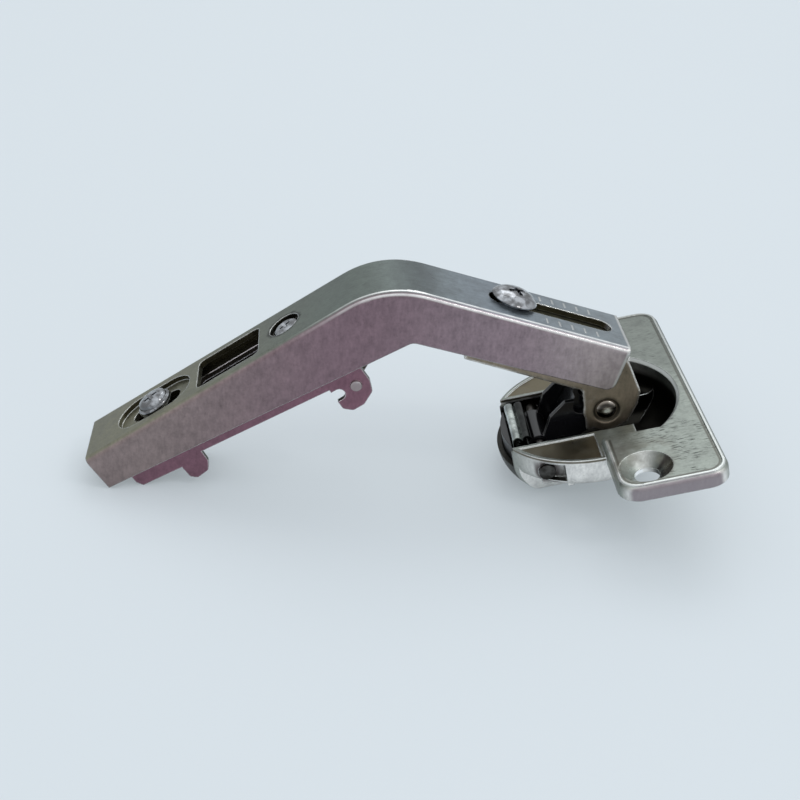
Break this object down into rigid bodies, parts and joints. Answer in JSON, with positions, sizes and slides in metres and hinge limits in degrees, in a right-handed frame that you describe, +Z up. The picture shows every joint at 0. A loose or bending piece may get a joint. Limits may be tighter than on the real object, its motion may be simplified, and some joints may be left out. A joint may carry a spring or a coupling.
{
  "type": "corner cabinet hinge",
  "caption": "Sprung concealed hinge for a corner cabinet: drilled-in cup, crossed links and a bent arm that clips to a mounting plate, with overlay and depth adjustment.",
  "frame": {"origin": "centre of the footprint, on the surface that the hinge lies on, in the sprung-shut pose of the picture", "axes": "+X from the bent arm's free end towards the cup, +Y along the hinge pins, away from the camera, +Z up"},
  "size_m": [0.1108, 0.06, 0.0403],
  "materials": {
    "nickel_cup": "nickel-plated drawn steel",
    "nickel_arm": "nickel-plated pressed steel, fine grain",
    "clip_steel": "nickel-plated spring steel",
    "pin_steel": "plated steel",
    "spring_steel": "bright spring steel",
    "nut_steel": "plated steel",
    "screw_chrome": "bright plated",
    "black_link": "black finish, satin",
    "black_plastic": "moulded nylon"
  },
  "bodies": {
    "bent_arm": {"outer_arm": "nickel_arm", "screw_bush": "nut_steel"},
    "carrier": {"clip_carrier": "clip_steel", "hook_rivet": "pin_steel", "depth_nut": "nut_steel"},
    "depth_screw": {"depth_screw": "screw_chrome"},
    "small_screw": {"small_screw": "screw_chrome"},
    "nose_arm": {"inner_arm": "nickel_arm", "nose_rivet": "pin_steel", "tail_pin": "pin_steel", "overlay_nut": "nut_steel"},
    "overlay_screw": {"overlay_screw": "screw_chrome"},
    "outer_link": {"outer_link": "black_link"},
    "cup": {"hinge_cup": "nickel_cup", "cup_pin": "pin_steel", "link_pin": "pin_steel", "cup_buffer": "black_plastic", "closing_spring": "spring_steel"},
    "inner_link": {"inner_link": "black_link"}
  },
  "joints": [
    {"name": "overlay_slide", "type": "slide", "parent": "bent_arm", "child": "nose_arm", "axis": [0.9647, 0, -0.2633], "range_m": [-0.001, 0.012]},
    {"name": "arm_fold", "type": "hinge", "parent": "nose_arm", "child": "outer_link", "pos_m": [0.0384, 0, 0.01641], "axis": [0, 1, 0], "range_deg": [0, 38.3], "stiffness_Nm_per_rad": 0.06, "springref_deg": -143.24},
    {"name": "cup_turn", "type": "hinge", "parent": "outer_link", "child": "cup", "pos_m": [0.02715, 0, 0.0081], "axis": [0, 1, 0], "range_deg": [0, 41.7]},
    {"name": "inner_link_turn", "type": "hinge", "parent": "cup", "child": "inner_link", "pos_m": [0.03133, 0, 0.00871], "axis": [0, -1, 0], "range_deg": [0, 44.93]},
    {"name": "depth_slide", "type": "slide", "parent": "bent_arm", "child": "carrier", "axis": [0.8257, 0, 0.564], "range_m": [-0.003, 0.003]},
    {"name": "overlay_screw_turn", "type": "hinge", "parent": "nose_arm", "child": "overlay_screw", "pos_m": [0.0204, 0, 0.0351], "axis": [0.2633, 0, 0.9647], "continuous": true},
    {"name": "depth_screw_turn", "type": "hinge", "parent": "carrier", "child": "depth_screw", "pos_m": [-0.04343, 0, 0.014], "axis": [-0.564, 0, 0.8257], "continuous": true},
    {"name": "small_screw_turn", "type": "hinge", "parent": "bent_arm", "child": "small_screw", "pos_m": [-0.02006, 0, 0.02996], "axis": [-0.564, 0, 0.8257], "continuous": true}
  ],
  "couplings": [
    {"joint": "cup_turn", "follows": "arm_fold", "ratio": 1.0888},
    {"joint": "inner_link_turn", "follows": "arm_fold", "ratio": 1.1731}
  ]
}
